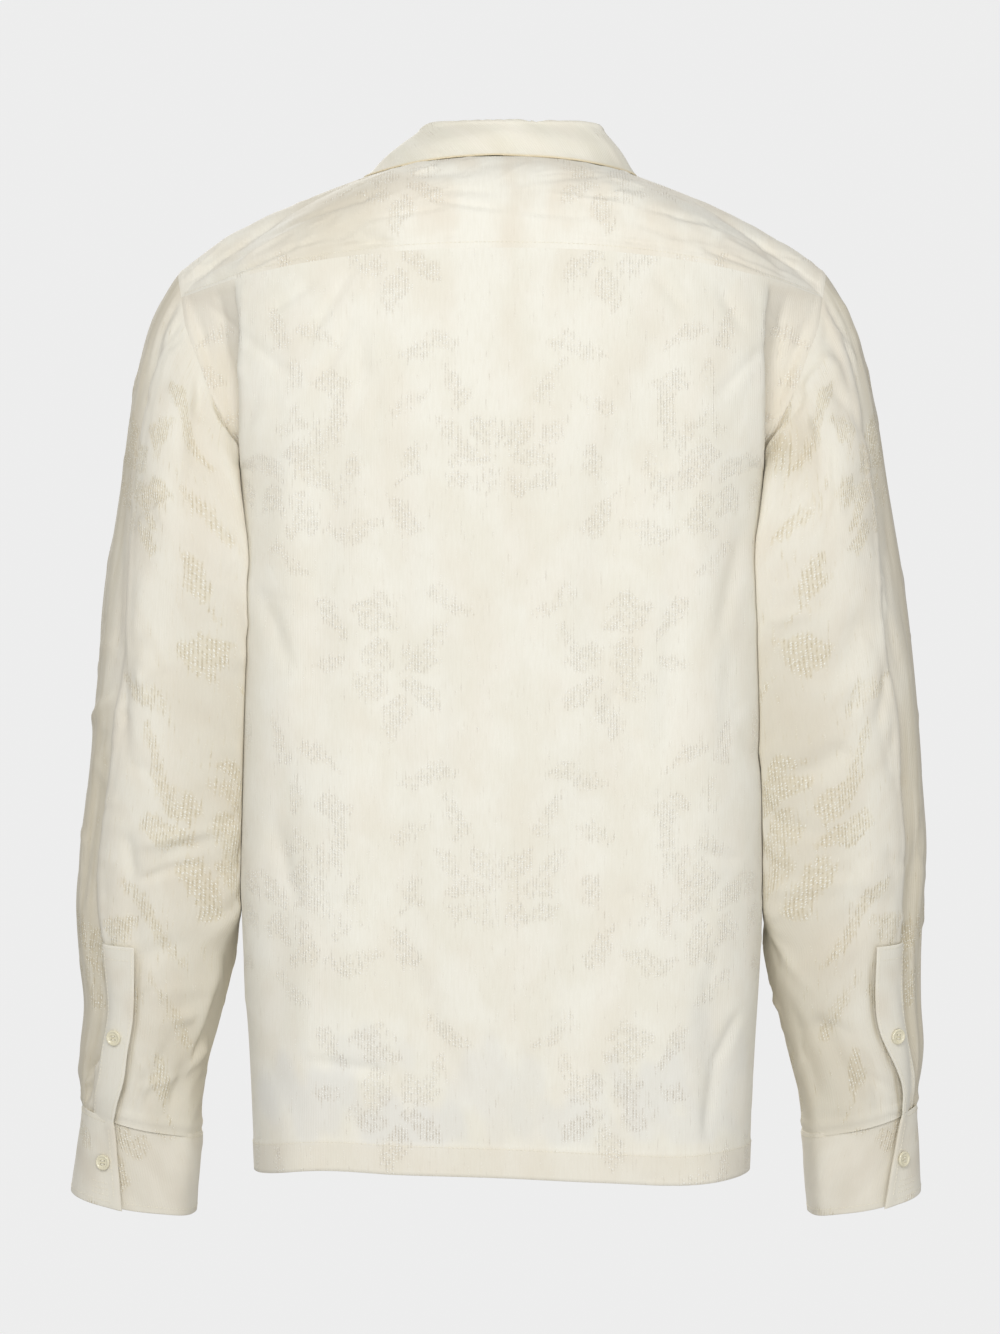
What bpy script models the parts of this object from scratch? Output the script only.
"""Long-sleeved camp shirt in light cotton, worn and hollow, with nobody in it.

World axes: +Z up, -Y the wearer's front, +X the wearer's left. The origin is the middle of the
neck at the height of the shoulder-neck points. All sizes below are millimetres.
"""

import bmesh
import bpy
import numpy as np
from mathutils import Matrix, Vector

MM = 0.001

# Cloth, seams and laps
CLOTH = 1.8
COLLAR_CLOTH = 2.4
CUFF_CLOTH = 2.4
STRIP_CLOTH = 1.6
SEAM_GAP = 0.3

# Grid counts of the panels
BACK_COLUMNS = 32
RADIAL_ROWS = 10
ARMHOLE_ROWS = 8
SIDE_ROWS = 14
SHOULDER_COLUMNS = 3
CAP_ROWS = 7
TUBE_ROWS = 16
COLLAR_COLUMNS = 24
COLLAR_FRONT_COLUMNS = 2
CUFF_COLUMNS = 26
STRIP_ROWS = 10

# Half-sections of the back, from the yoke seam (down 0) by the armpit (1) to the hem (2)
BLADE_X = 90.0
BACK_SIDE_X = 150.0


def table(names, *rows):
    """A short table: every named column becomes one array."""
    return dict(zip(names.split(), np.array(rows, float).T))


BACK = table(
    "down mid_z mid_y blade_y side_y corner_x corner_y turn_x turn_y",
    (0.000, -64, 104, 100, 86, 178, 71, 203, 49),
    (0.156, -84, 109, 104, 90, 179, 75, 197, 52),
    (0.324, -107, 112, 108, 94, 180, 77, 192, 52),
    (0.488, -132, 114, 110, 96, 180, 78, 189, 54),
    (0.645, -158, 116, 112, 98, 180, 77, 186.5, 56),
    (0.800, -184, 117, 113, 98, 179, 75, 184.5, 52),
    (1.000, -212, 117, 112, 97, 177, 71, 184, 38),
    (1.274, -348, 116, 111, 95, 176, 68, 183.3, 35),
    (1.663, -536, 113, 108, 93, 174, 67, 182, 35),
    (1.847, -626, 113, 108, 92, 169, 67, 176.8, 35),
    (2.000, -702, 114, 109, 93, 166, 67, 173.4, 35),
)
FRONT = table(
    "down open_x open_y open_z chest_x chest_y side_x side_y turn_x turn_y",
    (0.000, 70, -26, -9, 110, -27, 150, -28, 190, -27),
    (0.156, 62, -46, -32, 105, -52, 150, -52, 190, -46),
    (0.324, 52, -68, -60, 98, -76, 148, -74, 186, -62),
    (0.488, 40, -90, -88, 90, -97, 145, -91, 180, -71),
    (0.645, 22, -112, -122, 85, -115, 142, -102, 176, -75),
    (0.800, -3, -128, -156, 80, -126, 140, -108, 173, -76),
    (0.900, -15, -134, -174, 77, -130, 139, -111, 172, -76),
    (1.000, -15, -137, -192, 76, -132, 139, -112, 172, -74),
    (1.100, -15, -140, -250, 75, -134, 138, -113, 171, -73),
    (1.300, -15, -142, -356, 75, -136, 138, -114, 171, -73),
    (1.663, -15, -141, -536, 75, -135, 138, -113, 170, -72),
    (2.000, -15, -142, -702, 72, -135, 132, -113, 162, -71),
)
ARMHOLE_BACK = table(
    "down x y z",
    (0.000, 226, 24, -92),
    (0.156, 222, 37, -113),
    (0.324, 213, 48, -136),
    (0.488, 204, 54, -160),
    (0.645, 194, 51, -183),
    (0.800, 186.5, 38, -201),
    (0.909, 184.5, 21, -211),
    (1.000, 184, 2, -215),
)
ARMHOLE_FRONT = table(
    "down x y z",
    (0.000, 226, -20, -88),
    (0.156, 222, -33, -110),
    (0.324, 213, -44, -134),
    (0.488, 203, -50, -158),
    (0.645, 193, -48, -181),
    (0.800, 186.5, -36, -199),
    (0.909, 184.5, -18, -210),
    (1.000, 184, 2, -215),
)
ARMHOLE_TOP = table(
    "turn x y z",
    (0.00, 226, 24, -92),
    (0.25, 228.5, 15, -79.5),
    (0.50, 229.5, 3, -73.5),
    (0.75, 228.5, -9, -77),
    (1.00, 226, -20, -88),
)
SIDE_SEAM = table(
    "down x y z",
    (1.000, 184, 2, -215),
    (1.100, 184, 3, -264),
    (1.274, 183.7, 4, -350),
    (1.663, 182.7, 5, -540),
    (1.765, 180, 5, -590),
    (1.847, 177.5, 5, -630),
    (2.000, 174.3, 5, -705),
)
SEAM_SLOPE = 2.2
FRONT_SLOPE = 1.6
HEM_DIP = table(
    "share z",
    (-1.00, 0),
    (-0.74, -4.5),
    (-0.38, -3),
    (0.00, 0),
    (0.40, 2.3),
    (0.79, 5),
    (1.00, 0),
)

# Yoke round the neck: station 0 is the centre back, 1 the back armhole corner, 2 the front seam
NECK = table(
    "station x y z",
    (0.0, 0, 47, 4),
    (0.5, 40, 41, 3.5),
    (1.0, 66, 25, 2),
    (1.5, 75, 2, 0),
    (2.0, 70, -26, -9),
)
YOKE_SLOPES = table(
    "station leave_x leave_y leave_z arrive_x arrive_y arrive_z",
    (0.0, 0, 110, 10, 0, 10, -125),
    (0.5, 62, 92, 0, 50, -12, -120),
    (1.0, 150, 10, -35, 110, -10, -120),
    (1.5, 160, 0, -50, 120, 0, -110),
    (2.0, 150, -10, -50, 120, 0, -115),
)

# Sleeves and cuffs: rings down the arm; the tilt lifts the outer side, the lean drops the back
SLEEVE = table(
    "z outer_left outer_right inner_left inner_right mid_y depth tilt lean",
    (-262, 271.5, 275, 187.5, 187.5, 3, 78, 28, 6),
    (-320, 281.5, 286, 187, 187, 4, 71, 18, 3),
    (-375, 287, 293, 186.7, 186.7, 4, 64, 10, 1),
    (-430, 292.5, 297.8, 186.5, 186.5, 2, 58, 5, 1),
    (-485, 300, 301.5, 186, 186, -3, 53, 2, 2),
    (-525, 303, 299.5, 186, 185.5, -8, 49, 1, 3),
    (-560, 301.5, 298.6, 190.5, 187.5, -13, 46, 2, 4),
    (-595, 298.5, 299.3, 200.5, 197, -19, 44, 3, 4),
    (-630, 301.8, 301.5, 210, 206.5, -24, 41, 5, 4),
    (-655, 302.5, 299, 214.5, 213, -28, 38.5, 8, 4),
    (-673.5, 299.5, 295, 215.5, 215.4, -30, 35, 9.5, 4),
    (-704, 303.5, 297, 218, 218, -34, 35.5, 8.5, 4),
    (-735, 308.6, 299.3, 220.4, 220.4, -38, 36, 7.5, 4),
)
BICEP_Z = -262.0
CUFF_TOP_Z = -673.5
CUFF_HEM_Z = -735.0
CORNER_ANGLE = 35.0
ARMPIT_ANGLE = 180.0
INNER_SQUARING = 0.5
GROOVE = table(
    "z left right depth half_width",
    (-100, 35, 35, 2, 9),
    (-150, 35, 35, 4, 9),
    (-240, 35, 35, 5, 9),
    (-336, 43, 44, 5, 9),
    (-385, 39, 38, 5, 9),
    (-450, 36, 38, 6, 9),
    (-500, 35, 36, 6, 9),
    (-550, 41, 37, 6, 9),
    (-600, 46, 38, 6, 9),
    (-640, 38, 36, 5, 9),
    (-674, 30, 26, 2, 9),
)

# Slit and placket strip by sleeve height, as angles from the sleeve's outer side to its back
SLIT_TOP_Z = -548.0
STRIP_TOP_Z = -545.0
STRIP_END_Z = -671.6
LAP = {
    "left": table(
        "z slit free stitched",
        (-262, 71, 78, 52),
        (-520, 68, 78, 52),
        (-548, 66, 78, 52),
        (-616, 66, 79, 53),
        (-645, 66, 78, 52),
        (-673.5, 56, 67, 41),
    ),
    "right": table(
        "z slit free stitched",
        (-262, 71, 72, 43),
        (-520, 62, 71, 43),
        (-548, 60, 70, 43),
        (-609, 60, 72, 42),
        (-652, 46, 54, 28),
        (-673.5, 38, 48, 22),
    ),
}
CUFF_FREE = {
    "left": table("z angle", (-673.5, 67), (-704, 76), (-735, 84)),
    "right": table("z angle", (-673.5, 48), (-704, 63), (-735, 74.5)),
}
STRIP_LIFT = 1.8
STRIP_FLARE = 1.6
CUFF_UNDERLAP = 36.0
CUFF_LIFT = 2.2
CUFF_FLARE = 1.6
SLIT_DIP = 2.4

# Soft folds: troughs are negative; back folds run in x and z, sleeve folds in angle and z
BACK_FOLDS = table(
    "x_top z_top x_end z_end half_width height",
    (121, -190, 131, -390, 19, -4.5),
    (70, -250, 77, -590, 20, -4.5),
    (-76, -195, -67, -345, 19, -5),
    (-67, -333, -97, -420, 15, -4),
    (-53, -430, -55, -610, 21, -4),
    (98, -380, 100, -650, 20, 3.5),
    (-100, -440, -104, -660, 22, 3),
    (12, -420, 14, -640, 26, 3),
    (-146, -560, -150, -690, 14, -5),
    (150, -420, 152, -640, 15, -3),
)
SLEEVE_FOLDS = {
    "left": table(
        "angle_top z_top angle_end z_end half_width height",
        (98, -150, 112, -225, 9, -5),
        (70, -150, 118, -190, 9, 3),
        (168, -462, 122, -500, 11, -5),
        (143, -612, 120, -668, 10, -4),
        (100, -300, 92, -420, 14, -3),
        (240, -250, 232, -380, 14, -4),
        (300, -330, 288, -470, 13, -4),
        (215, -470, 262, -510, 11, -5),
        (236, -600, 244, -668, 10, -4),
    ),
    "right": table(
        "angle_top z_top angle_end z_end half_width height",
        (52, -138, 128, -188, 7, 5),
        (90, -160, 136, -202, 8, -6),
        (108, -175, 113, -250, 9, -5),
        (72, -316, 96, -362, 12, -4),
        (176, -448, 150, -484, 10, -5),
        (238, -240, 228, -370, 14, -4),
        (296, -350, 286, -480, 13, -4),
        (212, -455, 258, -505, 11, -5),
        (140, -590, 128, -668, 10, -3),
    ),
}
ARM_ROUND = 50.0
FRONT_FOLDS = table(
    "x_top z_top x_end z_end half_width height",
    (118, -180, 104, -400, 20, -4),
    (62, -260, 58, -600, 20, -4),
    (90, -420, 92, -660, 20, 3),
    (140, -440, 136, -680, 16, -4),
)

# Collar: height of the stand, how far it leans in, and the fall's reach and lift off the body
COLLAR = table(
    "station stand inward reach lift",
    (0.0, 25.5, 1.5, 17, 2.8),
    (0.5, 26, 4, 26, 2.8),
    (1.0, 26.5, 6, 23, 2.8),
    (1.5, 18.5, 9, 18, 2.8),
    (2.0, 10.5, 6, 28, 3.0),
    (2.3, 6, 2.5, 46, 3.0),
    (2.5, 4.2, 1, 58, 3.0),
)
STAND_SHARES = (0.0, 0.45, 0.85)
FALL_SHARES = (0.12, 0.4, 0.7, 1.0)
FOLD_RISE = 1.6
COLLAR_SWAY = -8.0
FALL_STRAIGHTENING = 0.8
GORGE_STATION = 2.5
GORGE_DOWN = 0.25

# Revers, the turned-out top of each front, from the gorge down to the break
REVERS = table(
    "share lift",
    (0.0, 1.9),
    (0.3, 3.6),
    (0.7, 3.2),
    (1.0, 2.2),
)
REVERS_TOP_DOWN = 0.254
REVERS_NOTCH_DOWN = 0.07
REVERS_END_DOWN = 0.74
REVERS_TOP_WIDTH = 62.0
REVERS_END_WIDTH = 7.0
FRONT_LAP = 15.0
UNDERLAP_DROP = 4.5

# Buttons
BUTTON_RADIUS = 5.6
BUTTON_SIDES = 12
BUTTON_PROFILE = table(
    "radius height",
    (0, 0),
    (4.8, 0),
    (BUTTON_RADIUS, 1.0),
    (5.0, 2.2),
    (4.0, 2.1),
    (3.2, 1.5),
    (0, 1.5),
)
FRONT_BUTTON_DOWNS = (0.93, 1.14, 1.32, 1.50, 1.68)
SLEEVE_BUTTONS = table(
    "placket_z placket_angle_left placket_angle_right cuff_z cuff_angle_left cuff_angle_right",
    (-611, 65.5, 58, -704, 62, 51),
)

COLOURS = {
    "body": (0.84, 0.82, 0.72),
    "yoke": (0.86, 0.82, 0.73),
    "sleeve": (0.78, 0.75, 0.64),
    "cuff": (0.74, 0.70, 0.60),
    "button": (0.70, 0.66, 0.48),
}


def along(stations, values, at):
    """Value of the smooth curve through the stations, at any place along it."""
    slopes = np.gradient(values, stations)
    at = np.clip(at, stations[0], stations[-1])
    low = np.clip(np.searchsorted(stations, at, side="right") - 1, 0, len(stations) - 2)
    span = stations[low + 1] - stations[low]
    t = (at - stations[low]) / span
    start = (1 + 2 * t) * (1 - t) ** 2 * values[low] + t * (1 - t) ** 2 * span * slopes[low]
    end = t * t * (3 - 2 * t) * values[low + 1] - t * t * (1 - t) * span * slopes[low + 1]
    return start + end


def read(rows, names, by, at):
    """Several columns of a table at one place, as the last axis of an array."""
    return np.stack([along(rows[by], rows[name], at) for name in names.split()], axis=-1)


def falling_z(rows):
    """The same table with its height column rising, as the curves need."""
    return {name: column[::-1] for name, column in rows.items()}


def blend(low, high, value):
    """0 below low, 1 above high, and smooth between."""
    t = np.clip((value - low) / (high - low), 0, 1)
    return t * t * (3 - 2 * t)


def unit(vectors):
    return vectors / np.maximum(np.linalg.norm(vectors, axis=-1, keepdims=True), 1e-9)


def section(points, fractions):
    """Points at fractions of the length of a smooth curve through the given points."""
    points = np.asarray(points, float)
    chord = np.linalg.norm(np.diff(points, axis=0), axis=1)
    stations = np.concatenate([[0], np.cumsum(chord)])
    fine = np.linspace(0, stations[-1], 200)
    path = np.stack([along(stations, points[:, k], fine) for k in range(2)], axis=1)
    step = np.linalg.norm(np.diff(path, axis=0), axis=1)
    run = np.concatenate([[0], np.cumsum(step)])
    at = np.asarray(fractions) * run[-1]
    return np.stack([np.interp(at, run, path[:, k]) for k in range(2)], axis=1)


def grid_normals(grid):
    """Unit normals of a grid of points; a ring whose ends meet is smooth across them."""
    across = np.gradient(grid, axis=1)
    meets = np.linalg.norm(grid[:, 0] - grid[:, -1], axis=-1) < 1e-4
    round_step = (grid[:, 1] - grid[:, -2]) / 2
    across[meets, 0] = round_step[meets]
    across[meets, -1] = round_step[meets]
    normals = unit(np.cross(across, np.gradient(grid, axis=0)))
    both = unit(normals[:, 0] + normals[:, -1])
    normals[meets, 0] = both[meets]
    normals[meets, -1] = both[meets]
    return normals


def folds(rows, across, down):
    """Sum of soft troughs and ridges at places (across, down) of a panel, in mm."""
    total = np.zeros(np.broadcast(across, down).shape)
    for a0, d0, a1, d1, half_width, height in zip(*rows.values()):
        run = np.hypot(a1 - a0, d1 - d0)
        ahead = ((across - a0) * (a1 - a0) + (down - d0) * (d1 - d0)) / run ** 2
        aside = ((across - a0) * (d1 - d0) - (down - d0) * (a1 - a0)) / run
        ends = blend(-0.2, 0.25, ahead) * (1 - blend(0.75, 1.2, ahead))
        total += height * ends * np.exp(-(aside / half_width) ** 2)
    return total


def edge_points(armhole, downs):
    """A side edge: down the armhole to the armpit, then down the side seam."""
    upper = read(armhole, "x y z", "down", downs)
    lower = read(SIDE_SEAM, "x y z", "down", downs)
    return np.where((downs <= 1)[..., None], upper, lower)


def back_grid(columns, downs, folded=True):
    """The back's outer face; columns run from -1, the wearer's right, to +1."""
    downs = np.asarray(downs, float)
    columns = np.asarray(columns, float)
    spread = np.sign(columns) * (1.25 * abs(columns) - 0.25 * columns ** 2)
    edges = edge_points(ARMHOLE_BACK, downs)
    grid = np.empty((len(downs), len(columns), 3))
    for row, (down, edge) in enumerate(zip(downs, edges)):
        mid_z, mid_y, blade_y, side_y, *turns = read(
            BACK, "mid_z mid_y blade_y side_y corner_x corner_y turn_x turn_y", "down", down)
        half = [(BLADE_X, blade_y), (BACK_SIDE_X, side_y), turns[0:2], turns[2:4], edge[:2]]
        other = [(-x, y) for x, y in reversed(half)]
        flat = section(other + [(0, mid_y)] + half, (spread + 1) / 2)
        grid[row, :, :2] = flat
        share = flat[:, 0] / edge[0]
        grid[row, :, 2] = mid_z + (edge[2] - mid_z) * abs(share) ** SEAM_SLOPE
        grid[row, :, 2] += along(HEM_DIP["share"], HEM_DIP["z"], share) * blend(1.5, 2, down)
    if folded:
        height = folds(BACK_FOLDS, grid[..., 0], grid[..., 2])
        height *= blend(0, 0.12, 1 - abs(columns))[None, :] * blend(0, 0.1, downs)[:, None]
        grid = grid + grid_normals(grid) * height[..., None]
    return grid


def mirrored(rows, names, at):
    """Three columns by station on both sides of the centre back, the first changing sign."""
    by = rows["station"]
    both = np.concatenate([-by[:0:-1], by])
    columns = []
    for name, sign in zip(names.split(), (-1, 1, 1)):
        values = np.concatenate([sign * rows[name][:0:-1], rows[name]])
        columns.append(along(both, values, at))
    return np.stack(columns, axis=-1)


def yoke_outer(stations):
    """The yoke's outer edge: the back seam, then the top of the armhole."""
    sides = np.where(stations < 0, -1.0, 1.0)[:, None] * np.array([1.0, 0, 0])
    sides += np.array([0, 1.0, 1.0])
    seam = back_grid(np.clip(stations, -1, 1), [0.0], folded=False)[0]
    top = read(ARMHOLE_TOP, "x y z", "turn", np.clip(abs(stations) - 1, 0, 1)) * sides
    return np.where(abs(stations)[:, None] <= 1, seam, top)


def yoke_grid(stations, reaches):
    """The yoke's outer face; rows run from the neck (0) to the outer edge (1)."""
    stations = np.asarray(stations, float)
    r = np.asarray(reaches, float)[:, None, None]
    inner = mirrored(NECK, "x y z", stations)[None]
    outer = yoke_outer(stations)[None]
    leave = mirrored(YOKE_SLOPES, "leave_x leave_y leave_z", stations)[None]
    arrive = mirrored(YOKE_SLOPES, "arrive_x arrive_y arrive_z", stations)[None]
    from_inner = (1 + 2 * r) * (1 - r) ** 2 * inner + r * (1 - r) ** 2 * leave
    from_outer = r * r * (3 - 2 * r) * outer - r * r * (1 - r) * arrive
    return from_inner + from_outer


def front_grid(fractions, downs, side=1, folded=True):
    """A front's outer face, from its opening edge (0) to the armhole and side seam (1)."""
    downs = np.asarray(downs, float)
    fractions = np.asarray(fractions, float)
    edges = edge_points(ARMHOLE_FRONT, downs)
    grid = np.empty((len(downs), len(fractions), 3))
    for row, (down, edge) in enumerate(zip(downs, edges)):
        open_x, open_y, open_z, *turns = read(
            FRONT, "open_x open_y open_z chest_x chest_y side_x side_y turn_x turn_y", "down", down)
        open_x = max(open_x, -FRONT_LAP)
        flat = section([(open_x, open_y), turns[0:2], turns[2:4], turns[4:6], edge[:2]], fractions)
        grid[row, :, :2] = flat
        share = np.clip((flat[:, 0] - open_x) / (edge[0] - open_x), 0, 1)
        grid[row, :, 2] = open_z + (edge[2] - open_z) * share ** FRONT_SLOPE
    if folded:
        height = folds(FRONT_FOLDS, grid[..., 0], grid[..., 2])
        height *= blend(0, 0.15, 1 - fractions)[None, :] * blend(0, 0.1, downs)[:, None]
        height *= blend(0, 30, grid[..., 0] - FRONT_LAP)
        grid = grid - grid_normals(grid) * height[..., None]
    seam = yoke_grid([2.0], fractions)[:, 0]
    top = front_top_row(fractions)
    grid = grid + (seam - top)[None] * (1 - blend(0, 0.35, downs))[:, None, None]
    if side < 0:
        drop = UNDERLAP_DROP * (1 - blend(FRONT_LAP, 3 * FRONT_LAP, grid[..., 0]))
        grid[..., 1] += drop * blend(0.4, 0.7, downs)[:, None]
        grid = grid * np.array([-1.0, 1, 1])
    return grid


def front_top_row(fractions):
    """The front's first section before it is fitted to the yoke's seam."""
    edge = edge_points(ARMHOLE_FRONT, np.array([0.0]))[0]
    row = {name: column[0] for name, column in FRONT.items()}
    points = [(row["open_x"], row["open_y"]), (row["chest_x"], row["chest_y"]),
              (row["side_x"], row["side_y"]), (row["turn_x"], row["turn_y"]), edge[:2]]
    flat = section(points, fractions)
    share = np.clip((flat[:, 0] - row["open_x"]) / (edge[0] - row["open_x"]), 0, 1)
    height = row["open_z"] + (edge[2] - row["open_z"]) * share ** FRONT_SLOPE
    return np.column_stack([flat, height])


def armhole_loop(angles):
    """The armhole by sleeve angle: 0 at the shoulder, 180 at the armpit, the back first."""
    angles = np.mod(angles, 360)
    run = ARMPIT_ANGLE - CORNER_ANGLE
    back = read(ARMHOLE_BACK, "x y z", "down", (angles - CORNER_ANGLE) / run)
    front = read(ARMHOLE_FRONT, "x y z", "down", (360 - CORNER_ANGLE - angles) / run)
    turn = np.where(angles < 180, (CORNER_ANGLE - angles), (360 - angles) + CORNER_ANGLE)
    top = read(ARMHOLE_TOP, "x y z", "turn", turn / (2 * CORNER_ANGLE))
    near_top = (angles < CORNER_ANGLE) | (angles > 360 - CORNER_ANGLE)
    body = np.where((angles <= ARMPIT_ANGLE)[..., None], back, front)
    return np.where(near_top[..., None], top, body)


def ring(side, angles, heights):
    """Points of the sleeve's or cuff's ring at an angle and a height, on the wearer's left."""
    rows = falling_z(SLEEVE)
    outer = along(rows["z"], rows["outer_" + side], heights)
    inner = along(rows["z"], rows["inner_" + side], heights)
    mid_y, depth, tilt, lean = np.moveaxis(
        read(rows, "mid_y depth tilt lean", "z", heights), -1, 0)
    turn = np.radians(angles)
    squared = np.sin(2 * turn) ** 2 * ((np.sin(turn) > 0) & (np.cos(turn) < 0))
    power = 1 - INNER_SQUARING * squared
    across = np.sign(np.cos(turn)) * abs(np.cos(turn)) ** power
    deep = np.sign(np.sin(turn)) * abs(np.sin(turn)) ** power
    x = (outer + inner) / 2 + (outer - inner) / 2 * across
    y = mid_y + depth * deep
    z = heights + tilt * np.cos(turn) - lean * np.sin(turn)
    return np.stack(np.broadcast_arrays(x, y, z), axis=-1)


def slit_angle(side, heights):
    rows = falling_z(LAP[side])
    return along(rows["z"], rows["slit"], heights)


def column_angles(side, angles, heights):
    """Turns even column angles so that columns follow the long outer fold and the slit."""
    rows = falling_z(GROOVE)
    groove = along(rows["z"], rows[side], heights)
    slit = slit_angle(side, heights)
    slit_column = CORNER_ANGLE + 2 * (ARMPIT_ANGLE - CORNER_ANGLE) / ARMHOLE_ROWS
    base = np.array([0, CORNER_ANGLE, slit_column, 180, 360])
    turned = np.empty(np.broadcast(angles, heights).shape)
    for row in range(turned.shape[0]):
        goal = np.array([0, groove[row, 0], slit[row, 0], 180, 360])
        whole = np.floor(angles[0] / 360)
        turned[row] = np.interp(angles[0] - 360 * whole, base, goal) + 360 * whole
    return turned


def sleeve_height(side, turned, grid_z, heights, dipped=True):
    """Height of the sleeve's folds over its plain ring, in mm."""
    rows = falling_z(GROOVE)
    angle = np.mod(turned, 360)
    line, depth, half_width = (along(rows["z"], rows[k], grid_z)
                               for k in (side, "depth", "half_width"))
    aside = np.radians(angle - line) * ARM_ROUND
    total = -depth * np.exp(-(aside / half_width) ** 2) * (1 - blend(-130, -90, grid_z))
    bends = dict(SLEEVE_FOLDS[side])
    bends["angle_top"] = np.radians(bends["angle_top"]) * ARM_ROUND
    bends["angle_end"] = np.radians(bends["angle_end"]) * ARM_ROUND
    total = total + folds(bends, np.radians(angle) * ARM_ROUND, grid_z)
    past_slit = np.mod(turned - slit_angle(side, heights) + 180, 360) - 180
    dip = SLIT_DIP * np.exp(-(past_slit / 16) ** 2) * blend(-1, 1, past_slit + 0.6)
    return total - dipped * dip * (1 - blend(SLIT_TOP_Z - 30, SLIT_TOP_Z, heights))


def arm_face(side, turned, heights, lift):
    """Points lifted off the sleeve below the cap, where it carries a strip or a button."""
    grid = ring(side, turned, heights)
    height = sleeve_height(side, turned, grid[..., 2], heights, dipped=False)
    return grid - grid_normals(grid) * (height + lift)[..., None]


def sleeve_grid(side, angles, stations, folded=True):
    """A sleeve's outer face: stations 0 to 1 down the cap, 1 to 2 down the arm."""
    angles = np.asarray(angles, float)[None, :]
    stations = np.asarray(stations, float)[:, None]
    seam_z = CUFF_TOP_Z + SEAM_GAP
    heights = BICEP_Z + (seam_z - BICEP_Z) * np.clip(stations - 1, 0, 1)
    turned = column_angles(side, angles, heights)
    slit_open = 0.7 * (heights < SLIT_TOP_Z)
    turned = turned + np.where(angles <= angles[0, 0], slit_open, 0)
    turned = turned - np.where(angles >= angles[0, -1], slit_open, 0)
    tube = ring(side, turned, heights)
    start = armhole_loop(angles)
    end = ring(side, column_angles(side, angles, np.array([[BICEP_Z]])), BICEP_Z)
    below = ring(side, column_angles(side, angles, np.array([[BICEP_Z]])), BICEP_Z - 10)
    reach = np.linalg.norm(end - start, axis=-1, keepdims=True)
    turn = np.radians(angles)
    outward = 0.39 + 0.24 * np.cos(turn)
    leave = unit(np.stack([outward, 0.4 * np.sin(turn), -0.85 + 0 * turn], axis=-1)) * reach
    arrive = unit(below - end) * reach
    r = np.clip(stations, 0, 1)[..., None]
    cap = (1 + 2 * r) * (1 - r) ** 2 * start + r * (1 - r) ** 2 * leave
    cap = cap + r * r * (3 - 2 * r) * end - r * r * (1 - r) * arrive
    grid = np.where((stations <= 1)[..., None], cap, tube)
    if folded:
        height = sleeve_height(side, turned, grid[..., 2], heights)
        height = height * blend(0, 0.35, stations) * (1 - 0.7 * blend(1.93, 2, stations))
        grid = grid - grid_normals(grid) * height[..., None]
    return grid


def cuff_grid(side, shares, falls, lift=0.0):
    """A cuff's middle face: shares run from the free edge round to the underlap's end."""
    shares = np.asarray(shares, float)[None, :]
    seam_z = CUFF_TOP_Z - SEAM_GAP
    heights = seam_z + (CUFF_HEM_Z - seam_z) * np.asarray(falls, float)[:, None]
    rows = falling_z(CUFF_FREE[side])
    free = along(rows["z"], rows["angle"], heights)
    turn = shares * (360 + CUFF_UNDERLAP)
    angles = free - turn
    over = CUFF_LIFT * (1 - blend(30, 80, turn)) + CUFF_FLARE * (1 - blend(0, 14, turn))
    under = -CUFF_LIFT * blend(282, 330, turn)
    middle = ring(side, np.array([[0.0, 180.0]]), heights).mean(axis=1, keepdims=True)
    points = ring(side, angles, heights)
    return points + unit(points - middle) * (over + under + lift)[..., None]


def wall(name, outer, inner, colour):
    """One closed wall between two grids of points, its rims made where the grid ends."""
    points, index = [], {}

    def number(point, layer):
        key = (layer,) + tuple(np.round(point, 4))
        if key not in index:
            index[key] = len(points)
            points.append(point)
        return index[key]

    rows, columns = outer.shape[:2]
    layers = [np.array([[number(grid[i, j], layer) for j in range(columns)] for i in range(rows)])
              for layer, grid in enumerate((outer, inner))]
    faces, edges = [], {}
    for i in range(rows - 1):
        for j in range(columns - 1):
            corners = ((i, j), (i, j + 1), (i + 1, j + 1), (i + 1, j))
            out_four = [layers[0][c] for c in corners]
            in_four = [layers[1][c] for c in corners]
            faces += [(out_four[0], out_four[1], out_four[2]), (out_four[0], out_four[2], out_four[3])]
            faces += [(in_four[0], in_four[2], in_four[1]), (in_four[0], in_four[3], in_four[2])]
            for k in range(4):
                pair = (out_four[k], out_four[(k + 1) % 4])
                edges[pair] = (in_four[k], in_four[(k + 1) % 4])
    for (a, b), (c, d) in edges.items():
        if (b, a) not in edges and a != b:
            faces += [(b, a, c), (b, c, d)]
    mesh = bpy.data.meshes.new(name)
    mesh.from_pydata([Vector(p) * MM for p in points], [], faces)
    model = bmesh.new()
    model.from_mesh(mesh)
    bmesh.ops.recalc_face_normals(model, faces=model.faces)
    model.to_mesh(mesh)
    model.free()
    mesh.shade_smooth()
    mesh.set_sharp_from_angle(angle=np.radians(50))
    place(name, mesh, colour)


def place(name, mesh, colour):
    thing = bpy.data.objects.new(name, mesh)
    bpy.context.scene.collection.objects.link(thing)
    finish = bpy.data.materials.get(colour) or bpy.data.materials.new(colour)
    finish.use_nodes = True
    shader = finish.node_tree.nodes["Principled BSDF"]
    shader.inputs["Base Color"].default_value = COLOURS[colour] + (1.0,)
    shader.inputs["Roughness"].default_value = 0.35 if colour == "button" else 0.85
    mesh.materials.append(finish)
    return thing


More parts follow.
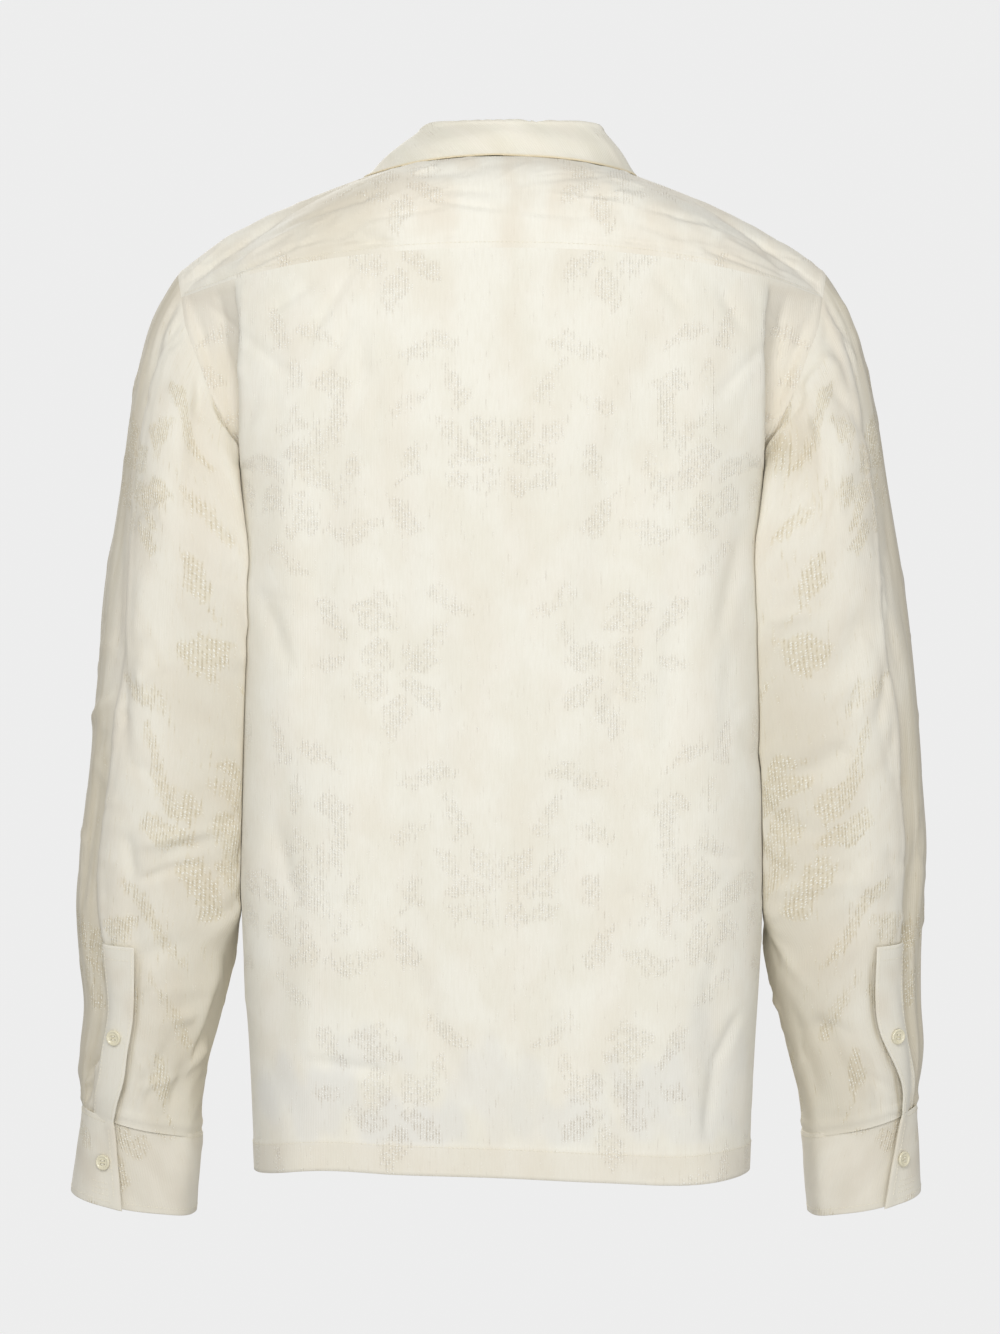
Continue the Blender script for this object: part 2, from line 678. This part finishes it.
def border(grid, closed_rows):
    """Inward directions at the grid's edges, for every edge point."""
    inward = np.zeros_like(grid)
    tangent_down = np.gradient(grid, axis=0)
    tangent_across = np.gradient(grid, axis=1)
    for edge, inner, tangent in ((0, 1, tangent_across), (-1, -2, tangent_across)):
        along_edge = unit(tangent[edge])
        step = grid[inner] - grid[edge]
        inward[edge] += unit(step - np.sum(step * along_edge, axis=-1, keepdims=True) * along_edge)
    for edge, inner in ((0, 1), (-1, -2)):
        along_edge = unit(tangent_down[:, edge])
        step = grid[:, inner] - grid[:, edge]
        push = unit(step - np.sum(step * along_edge, axis=-1, keepdims=True) * along_edge)
        push[closed_rows] = 0
        inward[:, edge] += push
    return inward


def sewn_walls(panels):
    """Walls of the panels that share seams, parted there by the seam gap."""
    meeting = {}
    made = []
    for name, (outer, turn_out, colour) in panels.items():
        normals = grid_normals(outer) * turn_out
        closed = np.linalg.norm(outer[:, 0] - outer[:, -1], axis=-1) < 1e-4
        inward = border(outer, closed)
        made.append([name, outer.copy(), normals, inward, colour])
        touched = np.linalg.norm(inward, axis=-1) > 0
        for i, j in zip(*np.nonzero(touched)):
            key = tuple(np.round(outer[i, j], 2))
            meeting.setdefault(key, []).append((len(made) - 1, i, j))
    shifts = [np.zeros_like(entry[1]) for entry in made]
    rims = [-entry[2] * CLOTH for entry in made]
    for spots in meeting.values():
        if len({piece for piece, i, j in spots}) < 2:
            continue
        bodies = [(p, unit(made[p][3][i, j]) - made[p][2][i, j]) for p, i, j in spots]
        for (p, i, j), (_, body) in zip(spots, bodies):
            others = [unit(body - other) for q, other in bodies if q != p]
            shifts[p][i, j] = sum(others) * SEAM_GAP / 2
            for away in others + others:
                crossing = min(np.dot(rims[p][i, j], away), 0)
                rims[p][i, j] = unit(rims[p][i, j] - crossing * away) * CLOTH
    for entry, shift, rim in zip(made, shifts, rims):
        outer = entry[1] + shift
        if entry[0].endswith("sleeve"):
            # The cuff's edge of the wall stays in the plane of the cuff seam
            rim[-1] = unit(outer[-1].mean(axis=0) - outer[-1]) * CLOTH
        wall(entry[0], outer, outer + rim, entry[4])


def body_panels():
    """Back, yoke, fronts and sleeves, as grids that share their seam points."""
    downs = np.concatenate([np.linspace(0, 1, ARMHOLE_ROWS + 1),
                            np.linspace(1, 2, SIDE_ROWS + 1)[1:]])
    across = np.linspace(-1, 1, BACK_COLUMNS + 1)
    reaches = np.linspace(0, 1, RADIAL_ROWS + 1)
    shoulder = np.linspace(1, 2, 2 * SHOULDER_COLUMNS + 1)[1:]
    stations = np.concatenate([-shoulder[::-1], across, shoulder])
    back_angles = np.linspace(CORNER_ANGLE, ARMPIT_ANGLE, ARMHOLE_ROWS + 1)
    top_angles = np.linspace(0, CORNER_ANGLE, SHOULDER_COLUMNS + 1)
    circle = np.concatenate([back_angles[2:], 360 - back_angles[:-1][::-1],
                             360 - top_angles[:-1][::-1], 360 + top_angles[1:],
                             360 + back_angles[1:3]])
    steps = np.concatenate([np.linspace(0, 1, CAP_ROWS + 1), np.linspace(1, 2, TUBE_ROWS + 1)[1:]])
    mirror = np.array([-1.0, 1, 1])
    panels = {
        "back": (back_grid(across, downs), 1, "body"),
        "yoke": (yoke_grid(stations, reaches), 1, "yoke"),
        "left_front": (front_grid(reaches, downs, 1), -1, "body"),
        "right_front": (front_grid(reaches, downs, -1), 1, "body"),
        "left_sleeve": (sleeve_grid("left", circle, steps), -1, "sleeve"),
        "right_sleeve": (sleeve_grid("right", circle, steps) * mirror, 1, "sleeve"),
    }
    return panels


def outward_lines(stations, fine):
    """Body points outward from the neck seam, by distance, at each station of the collar."""
    stations = np.asarray(stations, float)
    lines = np.empty((len(fine), len(stations), 3))
    for column, station in enumerate(stations):
        if abs(station) <= 2:
            lines[:, column] = yoke_grid([station], fine)[:, 0]
            continue
        down = GORGE_DOWN * (abs(station) - 2) / (GORGE_STATION - 2)
        front = front_grid(fine, [down], folded=False)[0]
        lines[:, column] = front * np.array([np.sign(station), 1, 1])
    return lines


def collar_grid(stations, stand_shares, fall_shares):
    """The middle face of the collar, up the stand, over the fold and down the fall."""
    stations = np.asarray(stations, float)
    stand, inward, reach, lift = np.moveaxis(
        read(COLLAR, "stand inward reach lift", "station", abs(stations)), -1, 0)
    lines = outward_lines(stations, np.linspace(0, 0.6, 90))
    normals = grid_normals(lines)
    steps = np.linalg.norm(np.diff(lines, axis=0), axis=-1)
    run = np.concatenate([np.zeros((1, len(stations))), np.cumsum(steps, axis=0)])
    up = np.array([0, 0, 1.0]) + normals[0] * blend(1.2, 2.5, abs(stations))[:, None] * 3
    up = unit(up)
    neck = lines[0]
    outward = lines[8] - neck
    outward = unit(outward - np.sum(outward * up, axis=-1, keepdims=True) * up)
    sway = np.array([COLLAR_SWAY, 0, 0]) * (stand / stand.max())[:, None]
    rows = []
    for share in list(stand_shares) + [1.0]:
        height = SEAM_GAP + share * (stand - SEAM_GAP)
        drawn_in = outward * (inward * share ** 1.5)[:, None]
        rows.append(neck + up * height[:, None] - drawn_in + sway * share ** 1.5)

    def outward_by(distances, field):
        """The field's value at a distance out from the neck, for each station."""
        return np.array([[np.interp(distance, run[:, c], field[:, c, k]) for k in range(3)]
                         for c, distance in enumerate(distances)])

    falls = []
    for share in fall_shares:
        settled = blend(0, 0.7, share)
        toward = unit(up * (1 - settled) + outward_by(share * reach, normals) * settled)
        height = lift + (stand - lift) * (1 - share)
        drawn_in = outward * (inward * (1 - blend(0, 0.8, share)))[:, None]
        falls.append(outward_by(share * reach, lines) + toward * height[:, None] - drawn_in
                     + sway * (1 - share))
    crest = (rows[-1] + falls[0]) / 2 + up * FOLD_RISE
    first, edge = falls[0], falls[-1]
    for number, share in enumerate(fall_shares):
        straight = first + (edge - first) * (share - fall_shares[0]) / (1 - fall_shares[0])
        falls[number] = falls[number] + FALL_STRAIGHTENING * (straight - falls[number])
    return np.stack(rows + [crest] + falls)


def front_place(side, distances, downs):
    """Points and outward normals on a front, at distances from its opening edge."""
    fine = np.linspace(0, 1, 120)

    def spot(distance, down):
        row = front_grid(fine, [down], side, folded=False)[0]
        steps = np.linalg.norm(np.diff(row, axis=0), axis=1)
        run = np.concatenate([[0], np.cumsum(steps)])
        return [np.interp(distance, run, row[:, k]) for k in range(3)]

    points, aside, below = (
        np.array([[spot(a + out, b + lower) for a, b in zip(*pair)]
                  for pair in zip(distances, downs)])
        for out, lower in ((0, 0), (2, 0), (0, 0.02)))
    return points, unit(np.cross(below - points, aside - points)) * side


def revers_grid(side, shares, falls):
    """The middle face of a revers, lying on its front."""
    shares = np.asarray(shares, float)[None, :]
    falls = np.asarray(falls, float)[:, None]
    top = REVERS_TOP_DOWN + REVERS_NOTCH_DOWN * shares ** 2
    downs = top + (REVERS_END_DOWN - top) * falls
    part = (downs - REVERS_TOP_DOWN) / (REVERS_END_DOWN - REVERS_TOP_DOWN)
    widths = REVERS_TOP_WIDTH + (REVERS_END_WIDTH - REVERS_TOP_WIDTH) * part
    points, normals = front_place(side, shares * widths, downs)
    lift = along(REVERS["share"], REVERS["lift"], shares)
    return points + normals * lift[..., None]


def sheet_wall(name, middle, thickness, colour):
    """A wall with half its cloth on each side of a middle face."""
    half = grid_normals(middle) * thickness / 2
    wall(name, middle + half, middle - half, colour)


def button(name, centre, normal):
    """A turned button with a rim round a shallow well, seated on the cloth."""
    model = bmesh.new()
    profile = [model.verts.new((x * MM, 0, z * MM)) for x, z in zip(*BUTTON_PROFILE.values())]
    edges = [model.edges.new(pair) for pair in zip(profile, profile[1:])]
    bmesh.ops.spin(model, geom=profile + edges, cent=(0, 0, 0), axis=(0, 0, 1),
                   angle=2 * np.pi, steps=BUTTON_SIDES, use_duplicate=False)
    bmesh.ops.remove_doubles(model, verts=model.verts, dist=1e-6)
    bmesh.ops.recalc_face_normals(model, faces=model.faces)
    mesh = bpy.data.meshes.new(name)
    model.to_mesh(mesh)
    model.free()
    mesh.shade_smooth()
    mesh.set_sharp_from_angle(angle=np.radians(50))
    seat = Vector(centre) + Vector(normal) * SEAM_GAP
    turn = Vector(normal).to_track_quat("Z", "Y").to_matrix().to_4x4()
    place(name, mesh, "button").matrix_world = Matrix.Translation(seat * MM) @ turn


def neck_pieces():
    """The collar, and the revers on each side of the open neck."""
    front = np.linspace(2, GORGE_STATION, COLLAR_FRONT_COLUMNS + 1)[1:]
    stations = np.concatenate([-front[::-1], np.linspace(-2, 2, COLLAR_COLUMNS + 1), front])
    middle = collar_grid(stations, STAND_SHARES, FALL_SHARES)
    sheet_wall("collar", middle, COLLAR_CLOTH, "yoke")
    for name, side in (("left_revers", 1), ("right_revers", -1)):
        revers = revers_grid(side, np.linspace(0, 1, 5), np.linspace(0, 1, 7))
        sheet_wall(name, revers, COLLAR_CLOTH, "body")


def sleeve_ends(side):
    """The cuff and the placket strip of one sleeve, with their buttons."""
    mirror = np.array([1.0 if side == "left" else -1.0, 1, 1])
    shares = np.linspace(0, 1, CUFF_COLUMNS + 1)
    falls = np.linspace(0, 1, 4)
    outer, inner = (cuff_grid(side, shares, falls, lift) * mirror
                    for lift in (CUFF_CLOTH / 2, -CUFF_CLOTH / 2))
    wall(side + "_cuff", outer, inner, "cuff")
    heights = np.linspace(STRIP_TOP_Z, STRIP_END_Z, STRIP_ROWS + 1)[:, None]
    rows = falling_z(LAP[side])
    stitched = along(rows["z"], rows["stitched"], heights)
    free = along(rows["z"], rows["free"], heights)
    across = np.linspace(0, 1, 4)[None, :]
    turned = stitched + (free - stitched) * across
    lift = STRIP_LIFT + STRIP_FLARE * across ** 2 + 0 * heights
    outer, inner = (arm_face(side, turned, heights, lift + extra) * mirror
                    for extra in (STRIP_CLOTH, 0))
    wall(side + "_placket", outer, inner, "cuff")
    spots = {name: column[0] for name, column in SLEEVE_BUTTONS.items()}
    around = np.array([[-2.0, 0, 2.0]])
    near = np.array([[2.0], [0], [-2.0]])
    patch = arm_face(side, spots["placket_angle_" + side] + around, spots["placket_z"] + near,
                     STRIP_LIFT + STRIP_CLOTH + STRIP_FLARE * 0.3 + 0 * around * near) * mirror
    seat_button(side + "_placket_button", patch, 1 if side == "right" else -1)
    rows = falling_z(CUFF_FREE[side])
    free = along(rows["z"], rows["angle"], spots["cuff_z"])
    share = (free - spots["cuff_angle_" + side]) / (360 + CUFF_UNDERLAP)
    fall = (CUFF_TOP_Z - spots["cuff_z"]) / (CUFF_TOP_Z - CUFF_HEM_Z)
    patch = cuff_grid(side, share + np.array([-0.005, 0, 0.005]), fall + np.array([-0.03, 0, 0.03]),
                      CUFF_CLOTH / 2 + SEAM_GAP) * mirror
    seat_button(side + "_cuff_button", patch, -1 if side == "right" else 1)


def seat_button(name, patch, turn_out):
    """A button on the middle of a small patch of face points."""
    normal = grid_normals(patch)[1, 1] * turn_out
    button(name, patch[1, 1], normal)


def front_buttons():
    for number, down in enumerate(FRONT_BUTTON_DOWNS, start=1):
        points, normals = front_place(1, [[FRONT_LAP]], [[down]])
        button("front_button_" + str(number), points[0, 0], normals[0, 0])


def main():
    for thing in list(bpy.data.objects):
        bpy.data.objects.remove(thing, do_unlink=True)
    sewn_walls(body_panels())
    neck_pieces()
    sleeve_ends("left")
    sleeve_ends("right")
    front_buttons()


main()
